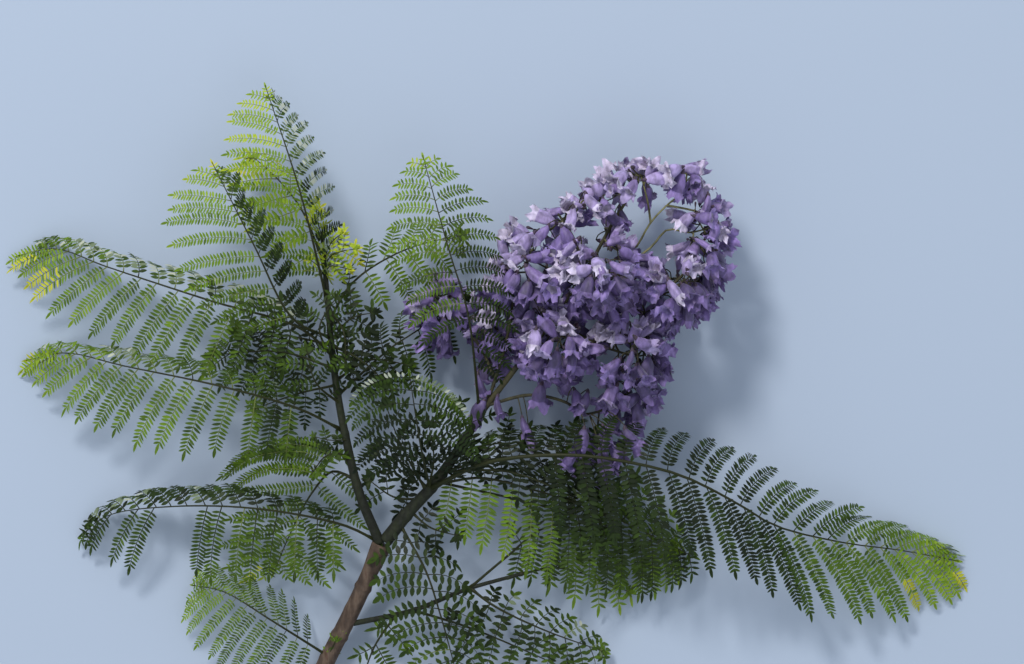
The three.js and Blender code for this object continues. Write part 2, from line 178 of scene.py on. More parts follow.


# The node of each is called frond_ and its name
# Their tones are painted shade and painted light: low where a leaf lies in shade, high where the sun shines
# through it.
LEAVES = {
    "top": frond(
        [[-186, 34, 71], [-211, 140, 112], [-247, 247, 78]], 0.12,
        wing(76, (177, 158), 14, (2.6, 4.6, 5.4), arc=34, yellow=0.2),
        wing(54, (32, 70), 48, (0.8, 3), arc=-46, pale=0.8, broad=1.25),
        spacing=14.5, leaflet=(7.2, 2.6)),
    "upper_left": frond(
        [[-182, -6, 72], [-219, 14, 104], [-256, 86, 124], [-300, 170, 84]], 0.22,
        wing(92, (196, 160), 16, (2.8, 4.2, 5.2), arc=24, yellow=0.2),
        wing(52, (60, 88), 50, (0, 3), broad=1.5),
        spacing=15, leaflet=(8, 2.8)),
    "over_flowers": frond(
        [[-33, -76, 82], [-44, 20, 146], [-62, 80, 152], [-89, 176, 108]], 0.2,
        wing(66, (212, 160), 18, (1.2, 3.2, 4.6), arc=44, first=0.16),
        wing(60, (-28, 40), 24, (0.4, 1.8, 4.2), arc=-50),
        spacing=14.5, leaflet=(8.2, 2.9)),
    "right_long": frond(
        [[-84, -158, 62], [-25, -130, 104], [60, -122, 128], [130, -132, 128], [172, -144, 122],
         [225, -171, 106], [262, -193, 90], [331, -211, 62], [392, -220, 34], [452, -232, 9]], 0.1,
        wing(76, (80, -8), (56, 34), (0.4, 0.4, 0.5, 0.6, 0.8, 1.2, 1.8, 2.8, 3.8, 4.6), arc=(-72, -40),
             broad=1.2),
        wing(106, (-84, -42), 18, (0.2, 0.3, 0.4, 0.5, 0.7, 1, 2.8, 3.4, 4, 4.8), first=0.12,
             yellow=0.12, broad=1.25),
        spacing=19.5, thick=2.6, widest=0.66, last=0.45, leaflet=(10.8, 3.7), taper=0.72),
    "centre": frond(
        [[-83, -155, 64], [-92, -104, 142], [-101, -40, 180]], 0.24,
        wing(84, (194, 201), 26, (0, 0.4, 2.2), arc=70, crest=1),
        wing(80, (-14, -29), 26, (0, 0.8, 2.6), arc=-62, crest=2),
        end=0.96, spacing=15.5, last=0.95, leaflet=(8.4, 3.7)),
    "upper_wide": frond(
        [[-181, -22, 72], [-212, 4, 88], [-300, 31, 98], [-405, 65, 66], [-462, 84, 26], [-499, 77, 8]], 0.14,
        wing(88, (250, 192), 16, (2.2, 3.2, 4.8), yellow=0.1),
        wing(46, (100, 150), 50, (1.6, 3.2), arc=84, pale=0.9, broad=1.5),
        spacing=17.5, last=0.5, taper=0.72),
    "middle_left": frond(
        [[-171, -98, 69], [-212, -77, 88], [-286, -55, 106], [-389, -34, 66], [-452, -21, 28],
         [-492, -29, 8]], 0.15,
        wing(84, (256, 202), 18, (2.2, 3.2, 5), yellow=0.1),
        wing(48, (118, 166), 50, (1.8, 4.2), arc=60, pale=0.5, broad=1.25),
        spacing=17.5, last=0.5, leaflet=(11.2, 3.4), taper=0.78),
    "lower_left": frond(
        [[-136, -210, 46], [-168, -194, 64], [-250, -177, 86], [-340, -175, 62], [-410, -186, 28],
         [-436, -206, 10]], 0.15,
        wing(84, (264, 232), 18, (2.8, 1.4), missing=(8, 9, 12)),
        wing(42, (122, 165), 48, (1.2, 1), arc=50, pale=0.3, broad=1.5)),
    "middle_short": frond(
        [[-179, -14, 74], [-151, -28, 98], [-120, -56, 92]], 0.28,
        wing(42, (72, 30), 30, (0.3, 1.5), arc=-40), wing(34, (-118, -85), 28, (0.3, 1.5)),
        spacing=12, leaflet=(11, 5.2)),
    "top_back": frond(
        [[-187, 62, 68], [-209, 119, 64], [-232, 150, 54], [-267, 182, 36]], 0.14,
        wing(60, (205, 172), 12, (4, 6), yellow=0.45), wing(36, (85, 112), 40, (4, 5), yellow=0.2)),
    "inner_left": frond(
        [[-179, -36, 69], [-232, -20, 60], [-310, -24, 30]], 0.2,
        wing(60, (250, 205), 18, (0.6, 2.6)), wing(42, (115, 150), 40, (0.4, 2))),
    "inner_low": frond(
        [[-159, -147, 58], [-180, -140, 56], [-200, -160, 44], [-222, -200, 34], [-242, -246, 18]], 0.16,
        wing(76, (-46, -64), 10, (2.2, 4)), wing(92, (185, 232), 8, (2.4, 3.4, 4.8), yellow=0.08),
        spacing=15, leaflet=(8.2, 2.9)),
    "middle_up": frond(
        [[-184, 10, 70], [-160, 49, 70], [-113, 80, 60], [-46, 100, 34]], 0.22,
        wing(46, (80, 25), 32, (2, 4)), wing(54, (-62, -30), 26, (3.2, 4.5))),
    "middle": frond(
        [[-175, -64, 70], [-123, -17, 52], [-93, 3, 46], [-40, 40, 28]], 0.25,
        wing(42, (95, 50), 38, (0.6, 2.4), arc=-40), wing(58, (-78, -50), 20, (0.8, 2.6))),
    "right_low": frond(
        [[-77, -153, 61], [-32, -146, 72], [7, -154, 76], [88, -180, 68], [186, -228, 26]], 0.06,
        wing(44, (65, 30), 48, (0.4, 2)), wing(90, (-94, -75), 14, (3.9, 3.5, 2.2, 1.2, 1, 1))),
    "low_hanging": frond(
        [[-112, -194, 52], [-86, -240, 72], [-71, -286, 66], [-54, -352, 26]], 0.12,
        wing(54, (-22, -52), 18, (0.6, 2.4), arc=-62), wing(66, (194, 222), 18, (0.8, 2.8), arc=54),
        spacing=15, leaflet=(10.6, 5.4)),
    "low_right": frond(
        [[-44, -259, 36], [-4, -225, 44], [33, -197, 46], [92, -196, 38], [170, -238, 10]], 0.28,
        wing(42, (118, 50), 25, (2, 3.6)), wing(70, (-98, -70), 16, (1.4, 3.8), yellow=0.06)),
    "bottom_left": frond(
        [[-185, -328, 18], [-240, -291, 50], [-289, -262, 40], [-324, -256, 12]], 0.16,
        wing(78, (242, 212), 18, (2.6, 4.2), yellow=0.06),
        wing(52, (98, 150), 34, (2.4, 4.4), yellow=0.06),
        spacing=10.5, leaflet=(7, 2.5)),
    "low_middle": frond(
        [[-42, -258, 36], [-19, -275, 42], [28, -298, 44], [96, -324, 20]], 0.16,
        wing(34, (50, -5), 30, (1, 2.8), arc=-50, pale=0.3),
        wing(46, (-112, -66), 16, (0.6, 2.4), arc=-30),
        spacing=14, leaflet=(9.6, 4.4)),
    "bottom": frond(
        [[-98, -281, 31], [-44, -298, 26], [14, -322, 22], [74, -350, 12]], 0.2,
        wing(28, (60, 20), 8, (0.6, 2), arc=-40), wing(46, (-112, -84), 8, (1.6, 3), arc=-30),
        leaflet=(9.6, 4.4)),
    "side_tip": frond(
        [[7, -244, 37], [48, -238, 26], [122, -264, 12]], 0.3,
        wing(26, (55, 20), 6, (2.4, 3.6)), wing(36, (-100, -60), 6, (2.6, 4.4))),
    "bottom_stem": frond(
        [[-116, -284, 30], [-138, -316, 28], [-156, -366, 12]], 0.16,
        wing(50, (-58, -80), 8, (2, 3.4)), wing(28, (200, 240), 8, (2, 3.4))),
}


def plain_leaf(kind, path, reach, tones, bare=0.2, yellow=0):
    """A leaf of a kind with like sides, whose side ribs stand off evenly from the way it points."""
    across, along = np.subtract(path[-1], path[0])[:2]
    ahead = math.degrees(math.atan2(along, across))
    sides = [wing(reach, (ahead + turn, ahead + 0.6 * turn), 24, tones, yellow=yellow) for turn in (70, -70)]
    return frond(path, bare, *sides, **kind)


# One leaf whose long side ribs lie over the others like a dome
DOME_LEAF = frond(
    [[-160, -140, 60], [-171, -122, 72], [-186, -124, 74], [-202, -144, 62]], 0.24,
    wing(12, (-20, -50), 10, (2, 3)),
    wing(114, (190, 206), 14, (2, 3.6), arc=72),
    end=0.94, spacing=5.5, last=0.9, leaflet=(8.4, 2.9))

# Shorter leaves: shaded ones between the stems, whose dark tones are painted shade, fine ones in front of
# those, and young ones that unfold at the end and in the crooks of the stems. Each row holds what plain_leaf
# asks for.
FINE = {"leaflet": (8.2, 3.2), "spacing": 12}
SHADED = {"leaflet": (10.4, 4.5), "spacing": 15}
YOUNG = {"leaflet": (7.4, 3), "spacing": 8, "thick": 0.7}
PLAIN_LEAVES = [
    (SHADED, [[-83, -156, 64], [-78, -120, 112], [-84, -84, 128]], 50, (0, 1.2)),
    (SHADED, [[-86, -160, 60], [-112, -110, 96], [-128, -66, 104]], 40, (0, 1.4)),
    (FINE, [[-178, -30, 72], [-192, 4, 92], [-172, 40, 94]], 34, (0.8, 2.2)),
    (FINE, [[-172, -72, 72], [-196, -50, 94], [-206, -12, 98]], 38, (1, 2.4)),
    (FINE, [[-182, 20, 70], [-168, 0, 92], [-166, -40, 90]], 32, (0.4, 2.4)),
    (SHADED, [[-70, -140, 66], [0, -140, 96], [60, -166, 94], [104, -204, 74]], 52, (0.2, 2), 0.42),
    (SHADED, [[-70, -140, 66], [-10, -126, 76], [70, -128, 80], [128, -150, 72]], 44, (0, 1.6)),
    (SHADED, [[-76, -150, 62], [20, -172, 50], [100, -196, 44], [170, -222, 24]], 56, (1, 4), 0.5),
    (FINE, [[-175, -53, 68], [-215, -62, 48], [-266, -80, 28]], 48, (1, 3.4)),
    (SHADED, [[-181, -13, 69], [-225, -4, 52], [-284, 2, 34]], 50, (0.6, 3)),
    (SHADED, [[-181, -8, 70], [-160, 14, 84], [-134, 20, 80]], 34, (0, 1)),
    (SHADED, [[-176, -48, 69], [-142, -28, 60], [-100, -34, 52]], 40, (0, 1.4)),
    (SHADED, [[-84, -158, 62], [-108, -132, 78], [-142, -116, 74]], 42, (0, 1)),
    (SHADED, [[-62, -130, 70], [-52, -100, 96], [-58, -66, 104]], 44, (0, 1.4)),
    (SHADED, [[-92, -168, 56], [-118, -166, 52], [-148, -146, 40]], 38, (0, 1)),
    (SHADED, [[-102, -180, 54], [-82, -196, 60], [-50, -206, 50]], 36, (0, 1.4)),
    (SHADED, [[-55, -120, 71], [-20, -112, 84], [18, -110, 84]], 42, (0, 1.2)),
    (YOUNG, [[-188, 74, 66], [-180, 90, 84], [-168, 100, 86]], 20, (5.6, 6), 0.2, 0.5),
    (YOUNG, [[-188, 66, 66], [-178, 78, 84], [-152, 84, 86]], 30, (6, 6), 0.2, 0.7),
    (YOUNG, [[-188, 58, 66], [-180, 66, 84], [-160, 62, 84]], 22, (5.6, 6), 0.2, 0.7),
    (YOUNG, [[-188, 56, 66], [-194, 66, 84], [-204, 74, 84]], 16, (6, 6), 0.2, 0.6),
    (YOUNG, [[-189, 90, 66], [-194, 112, 92], [-196, 132, 94]], 14, (6, 6), 0.2, 0.6),
    (YOUNG, [[-187, -330, 24], [-178, -312, 30], [-170, -300, 30]], 10, (3, 4)),
    (YOUNG, [[-166, -108, 72], [-184, -108, 78], [-200, -104, 74]], 14, (1, 2)),
]

# Flower head

# Middle and half sizes of each uneven cluster, whose node is called flowers_ and its name
CLUSTERS = {
    "middle": ((88, 60, 104), (50, 46, 104)),
    "left": ((13, 58, 76), (40, 47, 80)),
    "upper_left": ((44, 105, 92), (44, 33, 62)),
    "top": ((125, 148, 104), (40, 27, 50)),
    "right": ((163, 46, 80), (42, 43, 84)),
    "upper_right": ((186, 106, 90), (26, 52, 50)),
    "lower_left": ((42, -14, 80), (42, 42, 84)),
    "lower_right": ((120, -20, 80), (40, 44, 82)),
    "low": ((116, -68, 58), (33, 32, 44)),
    "hanging": ((86, -128, 38), (25, 34, 24)),
    "inner_left": ((-22, -4, 54), (24, 52, 46)),
    "far_left": ((-72, 22, 46), (32, 46, 42)),
}
# Thin bridges between clusters, in the same way
BRIDGES = [
    ((86, 126, 98), (34, 30, 50)), ((160, 157, 100), (32, 19, 42)), ((196, 88, 92), (28, 38, 48)),
]
# Middle and half sizes of the open gaps
HEAD_GAPS = [
    (150, 104, 17, 15), (178, 99, 17, 13), (81, 99, 17, 19), (118, 129, 17, 13), (150, 126, 15, 12),
    (176, 128, 10, 12), (202, 134, 9, 8), (204, 82, 10, 8), (164, 78, 10, 8), (146, 146, 9, 7),
    (39, 68, 13, 13), (28, 30, 12, 12), (70, 24, 12, 12), (121, 18, 15, 13), (104, -20, 14, 13),
    (76, -60, 16, 18), (4, 26, 10, 10), (100, 78, 13, 10), (148, 164, 10, 14), (48, -8, 10, 10),
    (150, 70, 12, 10), (-34, 14, 10, 12), (184, 56, 10, 9), (12, 84, 10, 8), (60, 40, 10, 9),
    (140, -22, 11, 10), (88, -34, 10, 9), (-58, 6, 9, 8), (128, 52, 10, 8),
]
# Its straight upper left edge, as two places on it
HEAD_EDGE = ((-18, 82), (118, 164))

# Single flowers below the head: the foot of each and the way it points
LONE_FLOWERS = [
    ((-14, -62, 86), (-0.25, -1, 0.15)), ((-26, -66, 84), (-0.6, -0.8, 0.1)),
    ((10, -84, 84), (0.15, -1, 0.2)), ((76, -58, 84), (-0.15, -1, 0.25)),
    ((62, -56, 80), (0.3, -0.9, 0.1)), ((30, -50, 90), (-0.2, -1, 0.2)),
    ((-34, -40, 80), (-0.1, -1, 0)), ((72, -94, 112), (-0.1, -1, -0.1)),
    ((90, -92, 110), (0.25, -1, -0.15)), ((64, -118, 108), (-0.5, -0.8, -0.1)),
    ((88, -116, 112), (0.25, -1, -0.1)), ((96, -112, 110), (0.7, -0.8, -0.15)),
    ((112, -94, 112), (0.2, -1, 0)), ((16, -94, 84), (-0.1, -1, 0.1)),
]
# Their light value, low, gives them dark petal tones: painted shade.
LONE_LIGHT = 0.12

# Common sizes

WIDEST_AT = 0.42
FIRST_PAIR = 0.66
LAST_PAIR = 0.3
TAPER = 0.84
PINNA_SPACING = 17
PINNA_FOOT = 6
PINNA_LEAN = 7
PINNA_BEND = (2, 26)
LEAFLET = (11, 3.4)
LEAFLET_GAP = 1.25
END_SIZE = 0.8
# Shares of the crest's upper leaflets that get painted sheen, grey and pale
CREST_SHEEN_GREY = 0.6
CREST_SHEEN_PALE = 0.18
MIDRIB_RADIUS = 1.6
LOWEST = 0.4

# Layers of flowers: their depths, and the gaps between flowers on the upper side and underneath
LAYERS = ((11, 24, 13.2, 17), (24, 40, 25, 26))
HEAD_BOX = ((-110, -165, 11), (232, 185, 212))
TRIES = 60000
MELTING = 3.2
CYME_WIDTH = 27
VARIANTS = 24
BELL_LENGTH = 20.5
BELL_RADIUS = 6.7
LOBE_LENGTH = 9
LOBES = 5
LOBE_SPOTS = 5
SKIN = 0.3


def linear(colour):
    """Scene values of a colour given as it looks on a screen."""
    shares = [value / 255 for value in colour]
    return [c / 12.92 if c <= 0.04045 else ((c + 0.055) / 1.055) ** 2.4 for c in shares] + [1.0]


def unit(vectors):
    return vectors / np.maximum(np.linalg.norm(vectors, axis=-1, keepdims=True), 1e-9)


def mix(first, last, share):
    return first + (last - first) * share


def upward(vectors):
    return vectors * np.where(vectors[:, 2:] < 0, -1, 1)


def swing(first, second, angle):
    """Two directions at right angles, turned by an angle in their own plane. Rows have an angle each."""
    cosine, sine = np.cos(angle)[..., None], np.sin(angle)[..., None]
    return first * cosine + second * sine, second * cosine - first * sine


# Curves and tubes

def full_turn(count):
    """Evenly spaced angles once round."""
    return 2 * np.pi * np.arange(count) / count


def reached_along(points):
    """How far along a line each of its points lies."""
    return np.concatenate([[0], np.cumsum(np.linalg.norm(np.diff(points, axis=0), axis=1))])


def read_along(places, reached, rows):
    """Rows that belong to the points of a line, read at places along it."""
    return np.stack([np.interp(places, reached, column) for column in rows.T], axis=-1)


class Curve:
    """A centripetal Catmull-Rom curve through points, read by its share of the length."""

    def __init__(self, points, steps=24):
        knots = np.array(points, float)
        knots = np.vstack([2 * knots[0] - knots[1], knots, 2 * knots[-1] - knots[-2]])
        share = np.linspace(0, 1, steps, endpoint=False)[:, None]
        rows = [self.span(knots[i:i + 4], share) for i in range(len(knots) - 3)]
        self.points = np.vstack(rows + [knots[-2:-1]])
        self.reached = reached_along(self.points)
        self.length = self.reached[-1]

    @staticmethod
    def span(knots, share):
        a, b, c, d = knots
        before, here, after = (math.sqrt(np.linalg.norm(q - p)) for p, q in ((a, b), (b, c), (c, d)))
        start = ((b - a) / before - (c - a) / (before + here) + (c - b) / here) * here
        end = ((c - b) / here - (d - b) / (here + after) + (d - c) / after) * here
        square, cube = share ** 2, share ** 3
        return (b + start * share + (3 * (c - b) - 2 * start - end) * square
                + (2 * (b - c) + start + end) * cube)

    def at(self, share):
        return read_along(np.asarray(share) * self.length, self.reached, self.points)

    def along(self, share):
        share = np.asarray(share, float)
        return unit(self.at(np.minimum(share + 0.01, 1)) - self.at(np.maximum(share - 0.01, 0)))


def carried_frames(points):
    """Two directions across a line at each of its points, turned as little as possible along it."""
    ahead = unit(np.gradient(points, axis=0))
    side = np.cross(ahead[0], UP if abs(ahead[0][2]) < 0.9 else np.array([1.0, 0, 0]))
    sides = []
    for direction in ahead:
        side = unit(side - direction * (side @ direction))
        sides.append(side)
    sides = np.array(sides)
    return sides, np.cross(ahead, sides)


def ring_faces(rings, around, first=0):
    """Triangles of a skin over rings of points that follow one another."""
    ring, side = np.meshgrid(np.arange(rings - 1), np.arange(around), indexing="ij")
    a = first + ring * around + side
    b = first + ring * around + (side + 1) % around
    c, d = b + around, a + around
    return np.concatenate([np.stack([a, b, c], -1).reshape(-1, 3), np.stack([a, c, d], -1).reshape(-1, 3)])


def fan_faces(centre, first, around, turned=False):
    """Triangles from one middle point to a ring."""
    side = np.arange(around)
    a, b = first + side, first + (side + 1) % around
    middle = np.full(around, centre)
    return np.stack([middle, b, a] if turned else [middle, a, b], -1)


def tube(points, radii, around=6, relief=1):
    """A closed tube along points. relief holds a factor for each ring and side of it."""
    points = np.asarray(points, float)
    sides, others = carried_frames(points)
    angle = full_turn(around)
    radius = np.asarray(radii, float)[:, None] * np.broadcast_to(relief, (len(points), around))
    rings = (points[:, None] + radius[..., None] * (np.cos(angle)[None, :, None] * sides[:, None]
             + np.sin(angle)[None, :, None] * others[:, None]))
    count = len(points) * around
    vertices = np.vstack([rings.reshape(-1, 3), points[:1], points[-1:]])
    faces = np.vstack([
        ring_faces(len(points), around),
        fan_faces(count, 0, around, turned=True),
        fan_faces(count + 1, count - around, around),
    ])
    return vertices, faces


def thread(points, radii, around=5, steps=7):
    """A thin tube along a smooth curve through points."""
    line = Curve(points, 8).at(np.linspace(0, 1, steps))
    return tube(line, np.linspace(*radii, steps), around)


def new_object(name, data):
    item = bpy.data.objects.new(name, data)
    bpy.context.scene.collection.objects.link(item)
    return item


class Heap:
    """The triangles of one piece, gathered shape by shape, each with the number of its material."""

    def __init__(self):
        self.vertices, self.faces, self.tints, self.count = [], [], [], 0

    def add(self, shape, tint=0):
        vertices, faces = shape
        self.vertices.append(vertices.reshape(-1, 3))
        self.faces.append(faces + self.count)
        self.tints.append(np.broadcast_to(tint, len(faces)))
        self.count += len(vertices.reshape(-1, 3))


def add_piece(name, heap, materials, nodes):
    """Makes one mesh object of a heap. It rides on the one body and stands for its nodes."""
    places = (np.vstack(heap.vertices) + SHIFT) * MM
    places[:, 2] = np.maximum(places[:, 2], 0)
    faces = np.vstack(heap.faces)
    mesh = bpy.data.meshes.new(name)
    mesh.from_pydata(places, [], faces, shade_flat=False)
    for material in materials:
        mesh.materials.append(material)
    mesh.polygons.foreach_set("material_index", np.concatenate(heap.tints).astype(np.int32))
    mesh.validate()
    piece = new_object(name, mesh)
    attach(piece, "root")
    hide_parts(*nodes)
    print(f"{name}: {len(faces)} triangles")


# Materials

def set_inputs(node, **values):
    """Gives a node's own sockets constant values, or links from outputs. In a name _ stands for a space."""
    for name, value in values.items():
        socket = node.inputs[name.replace("_", " ")]
        if isinstance(value, bpy.types.NodeSocket):
            node.id_data.links.new(value, socket)
        else:
            socket.default_value = value
    return node


def new_material(name, colour, roughness, **fixed):
    """A material and its shader node."""
    material = bpy.data.materials.new(name)
    material.use_nodes = True
    shader = material.node_tree.nodes["Principled BSDF"]
    return material, set_inputs(shader, Base_Color=linear(colour), Roughness=roughness, **fixed)


def new_node(shader, kind, **values):
    """A node beside a shader, with its inputs."""
    return set_inputs(shader.id_data.nodes.new(f"ShaderNode{kind}"), **values)


def noise(shader, scale, detail=3.0, stretch=(1, 1, 1)):
    """A noise pattern fixed to the object, scale in patches per metre."""
    place = new_node(shader, "TexCoord").outputs["Object"]
    mapping = new_node(shader, "Mapping", Vector=place, Scale=stretch)
    pattern = new_node(shader, "TexNoise", Vector=mapping.outputs["Vector"], Scale=scale, Detail=detail)
    return pattern.outputs["Fac"]


def vary_roughness(shader, scale, low, high):
    """Lets the roughness follow a noise pattern from low to high."""
    ends = {"From_Min": 0.3, "From_Max": 0.7, "To_Min": low, "To_Max": high}
    ranged = new_node(shader, "MapRange", Value=noise(shader, scale), **ends)
    set_inputs(shader, Roughness=ranged.outputs["Result"])


def add_bump(shader, height, distance):
    bump = new_node(shader, "Bump", Height=height, Distance=distance * MM, Strength=1)
    set_inputs(shader, Normal=bump.outputs["Normal"])


def add_ramp(shader, value, stops):
    ramp = new_node(shader, "ValToRGB", Fac=value)
    elements = ramp.color_ramp.elements
    while len(elements) < len(stops):
        elements.new(0.5)
    for element, (position, colour) in zip(elements, stops):
        element.position = position
        element.color = linear(colour)
    set_inputs(shader, Base_Color=ramp.outputs["Color"])


def leaf_material(name, colour, roughness=(0.42, 0.62)):
    material, shader = new_material(name, colour, 0.5, Specular_IOR_Level=0.22)
    vary_roughness(shader, 420, *roughness)
    add_bump(shader, noise(shader, 1500, 2), 0.12)
    return material


def petal_material(name, colour):
    material, shader = new_material(name, colour, 0.55, Sheen_Weight=0.2, Sheen_Roughness=0.4)
    darker, lighter = ([min(255, share * value) for value in colour] for share in (0.78, 1.17))
    add_ramp(shader, noise(shader, 170, 5, (1, 0.5, 1)), [(0.34, darker), (0.5, colour), (0.66, lighter)])
    vary_roughness(shader, 260, 0.48, 0.7)
    add_bump(shader, noise(shader, 900, 3, (1, 0.35, 1)), 0.25)
    return material


def bark_material(name):
    """Woody skin: mottled colour, and relief drawn out along the stem, which runs mostly along y."""
    tones, ridges, depth = BARKS[name]
    material, shader = new_material(name, tones[1], 0.85)
    add_ramp(shader, noise(shader, 90, 8, (1.4, 0.5, 1.4)), list(zip(BARK_STOPS, tones)))
    vary_roughness(shader, 300, 0.7, 0.92)
    add_bump(shader, noise(shader, ridges, 6, (2.2, 0.5, 2.2)), depth)
    return material


# Growing the leaves

def leaflet_template():
    """One leaflet: length along x, half width along y, height along z, folded along its middle vein."""
    stations = [(0.14, 0.66), (0.42, 1.0), (0.76, 0.7)]
    points = [(0, 0, 0)]
    for place, width in stations:
        droop = -0.1 * place ** 2
        edge = droop + 0.05 * width
        points += [(place, width, edge), (place, 0, droop), (place, -width, edge)]
    points.append((1.0, 0, -0.1))
    last = len(points) - 1
    faces = [(0, 2, 1), (0, 3, 2), (last - 3, last - 2, last), (last - 2, last - 1, last)]
    for row in range(len(stations) - 1):
        a = 1 + 3 * row
        for side in (a, a + 1):
            faces += [(side, side + 1, side + 4), (side, side + 4, side + 3)]
    return np.array(points, float), np.array(faces)


LEAFLET_POINTS, LEAFLET_FACES = leaflet_template()


def leaflets(origin, along, across, up, length, width):
    """Copies of the leaflet template. Each argument holds one row for each copy."""
    x, y, z = LEAFLET_POINTS.T
    return (origin[:, None] + along[:, None] * (x[None, :, None] * length[:, None, None])
            + across[:, None] * (y[None, :, None] * width[:, None, None])
            + up[:, None] * (z[None, :, None] * length[:, None, None]))


def outline_at(share, widest, last):
    """The share of the full length of side ribs at a share of the way along the leafy part."""
    if share < widest:
        return mix(1, FIRST_PAIR, (1 - share / widest) ** 2)
    return mix(1, last, ((share - widest) / (1 - widest)) ** 2)


def pinna_line(ridge, side, share, outline, sweep, rng):
    """The line of one side rib: out along its heading, bending on the way, and down under its own weight."""
    chord = math.radians(mix(*side["headings"], share) + sweep * PINNA_LEAN + rng.normal(0, 1.8))
    arcs = side.get("arc", [sweep * bend for bend in PINNA_BEND])
    arc = math.radians(mix(*np.broadcast_to(arcs, 2), share) + rng.normal(0, 4))
    length = side["reach"] * outline * rng.uniform(0.93, 1.03)
    hang = math.radians(mix(*np.broadcast_to(side["hang"], 2), share) + rng.normal(0, 4))
    part = np.linspace(0, 1, 12)
    middle = (part[1:] + part[:-1]) / 2
    slowing = math.sin(hang)
    step = length * math.cos(hang) / len(middle) * (1 + slowing * (0.5 - middle))
    turn = chord + arc * (middle - 0.5)
    run = np.concatenate([[(0, 0)], np.cumsum(np.stack([np.cos(turn), np.sin(turn)]) * step, axis=1).T])
    drop = length * math.sin(hang) * part ** 1.6
    height = np.maximum(ridge[2] - drop, 1.2 + 0.6 * rng.random())
    return np.column_stack([ridge[0] + run[:, 0], ridge[1] + run[:, 1], height])


def grow_pinna(line, ahead, size, rng, broad=1):
    """Leaflet pairs and one end leaflet along a side rib, and each one's share of the way along it.

    ahead is the way the midrib runs, which gives the leaflets their plane. broad is a factor of their width.
    """
    reached = reached_along(line)
    length = reached[-1]
    foot = min(PINNA_FOOT, length * 0.14)
    end = length - size[0] * 0.9
    pairs = max(3, round((end - foot) / (LEAFLET_GAP * size[1])))
    place = np.repeat(np.linspace(foot, end, pairs), 2) + rng.normal(0, 0.2, 2 * pairs)
    sign = np.tile([1.0, -1.0], pairs)
    origin = read_along(place, reached, line)
    rib = unit(np.gradient(line, axis=0))
    along = unit(read_along(place, reached, rib))
    across = unit(ahead - along * (along @ ahead)[:, None])
    up = upward(np.cross(along, across))
    roll = rng.normal(0, 0.14) + rng.normal(0, 0.03, len(place))
    across, _ = swing(across, up, roll)
    up = upward(np.cross(along, across))
    share = place / length
    opening = np.radians(mix(78, 46, share ** 1.6) + rng.normal(0, 2.5, len(place)))
    fold = np.radians(rng.normal(4, 4, len(place)))
    outward, _ = swing(across * sign[:, None], up, fold)
    direction, backward = swing(along, outward, opening)
    direction, width_way = unit(direction), -unit(backward)
    face = np.cross(direction, width_way)
    turned = face[:, 2] + (face * up).sum(1) < 0
    width_way[turned] *= -1
    face[turned] *= -1
    width_way, face = swing(width_way, face, rng.normal(0, 0.09, len(place)))
    swell = 1 - 0.3 * np.abs(2 * share - 0.9) ** 3
    lengths = size[0] * swell * rng.uniform(0.93, 1.06, len(place))
    widths = 0.5 * broad * size[1] * swell * rng.uniform(0.92, 1.08, len(place))
    tip = line[-1] - rib[-1] * size[0] * 0.8
    end_length, end_width = np.array([size[0] * 1.5]), np.array([size[1] * 0.56])
    copies = np.concatenate([
        leaflets(origin, direction, width_way, face, lengths, widths),
        leaflets(tip[None], rib[-1:], across[-1:], up[-1:], end_length, end_width),
    ])
    copies[..., 2] = np.maximum(copies[..., 2], LOWEST)
    return copies, np.append(share, 1)


def leaflet_tones(side, share, places, rng):
    """A tone for each leaflet of a side rib at a share of the way along its leaf: painted shade and light."""
    draw = rng.random()
    own = rng.random(len(places))
    tone = np.interp(share, np.linspace(0, 1, len(side["tones"])), side["tones"]) + rng.normal(0, 0.32)
    # Painted shade and light: leaflets darker towards the foot of their side rib, lighter towards its tip.
    tones = np.round(tone + 0.9 * (places - 0.55) + rng.normal(0, 0.3, len(places)))
    tones = np.clip(tones, 0, LIME).astype(int)
    if draw < 3 * (share - 0.5) * side.get("yellow", 0):
        tones[places + 0.4 * own > 0.75] = YELLOW
    # Painted sheen: some outer leaflets of a side rib turn grey, a few pale.
    pale = side.get("pale", 0)
    if draw > 1 - pale:
        tones[(places > 0.2) & (own < 0.6)] = GREY
        tones[(places > 0.3) & (own < 0.36 * pale)] = PALE
    return tones


